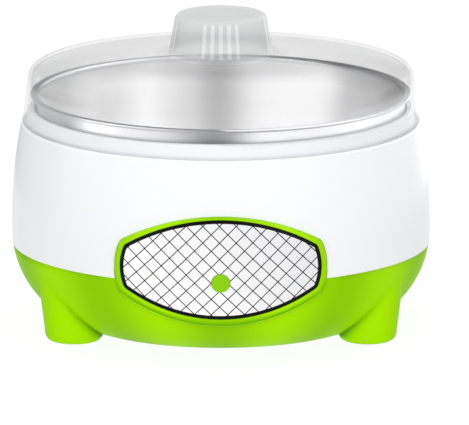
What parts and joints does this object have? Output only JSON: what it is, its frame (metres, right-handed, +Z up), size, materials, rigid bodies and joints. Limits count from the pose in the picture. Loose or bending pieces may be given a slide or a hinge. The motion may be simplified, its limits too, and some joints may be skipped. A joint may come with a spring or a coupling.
{
  "type": "electric yogurt maker",
  "caption": "Round tabletop yogurt maker: steel pot in a white barrel shell on a green base with feet and a raised front label, under a clear domed lid with a tall knob.",
  "frame": {"origin": "on the worktop, in the middle of the round body", "axes": "+Z up along the body's axis, -Y to the front with the label, +Y to the back with the power inlet"},
  "size_m": [0.185, 0.1865, 0.14],
  "materials": {
    "clear_lid": "clear moulded styrene, polished",
    "pot_steel": "satin stainless sheet",
    "white_shell": "glossy white moulding",
    "white_well": "white moulding",
    "green_base": "glossy lime green moulding",
    "printed_label": "printed film, silver ground with a black border",
    "green_lens": "tinted green moulding",
    "foot_rubber": "soft black rubber",
    "zinc_steel": "zinc plated steel",
    "black_socket": "fine grained black moulding",
    "pin_brass": "nickel plated brass",
    "plate_aluminium": "spun aluminium",
    "silicone": "translucent silicone",
    "heater_aluminium": "extruded aluminium case",
    "fuse_sleeve": "woven glass sleeve",
    "lamp_glass": "clear glass bulb",
    "resistor_sleeve": "heat-shrink sleeve",
    "live_insulation": "soft insulation",
    "heater_insulation": "silicone insulation",
    "neutral_insulation": "soft insulation",
    "lamp_insulation": "soft insulation",
    "splice_nylon": "nylon sleeve"
  },
  "bodies": {
    "base": {"body_shell": "white_shell", "inner_well": "white_well", "base_shell": "green_base", "panel_label": "printed_label", "indicator_lens": "green_lens", "foot_plugs": "foot_rubber", "base_screws": "zinc_steel", "power_inlet": "black_socket", "inlet_pins": "pin_brass", "heating_plate": "plate_aluminium", "plate_gasket": "silicone", "plate_nuts": "zinc_steel", "ptc_heater": "heater_aluminium", "heater_clamp": "zinc_steel", "clamp_nuts": "zinc_steel", "thermal_fuse": "fuse_sleeve", "fuse_clip": "zinc_steel", "indicator_lamp": "lamp_glass", "lamp_resistor": "resistor_sleeve", "live_lead": "live_insulation", "fuse_lead": "live_insulation", "heater_leads": "heater_insulation", "neutral_lead": "neutral_insulation", "lamp_leads": "lamp_insulation", "splice_sleeves": "splice_nylon"},
    "pot": {"inner_pot": "pot_steel"},
    "lid": {"outer_lid": "clear_lid"}
  },
  "joints": [
    {"name": "pot_lift", "type": "slide", "parent": "base", "child": "pot", "axis": [0, 0, 1], "range_m": [0, 0.1]},
    {"name": "lid_lift", "type": "slide", "parent": "pot", "child": "lid", "axis": [0, 0, 1], "range_m": [0, 0.1]}
  ]
}
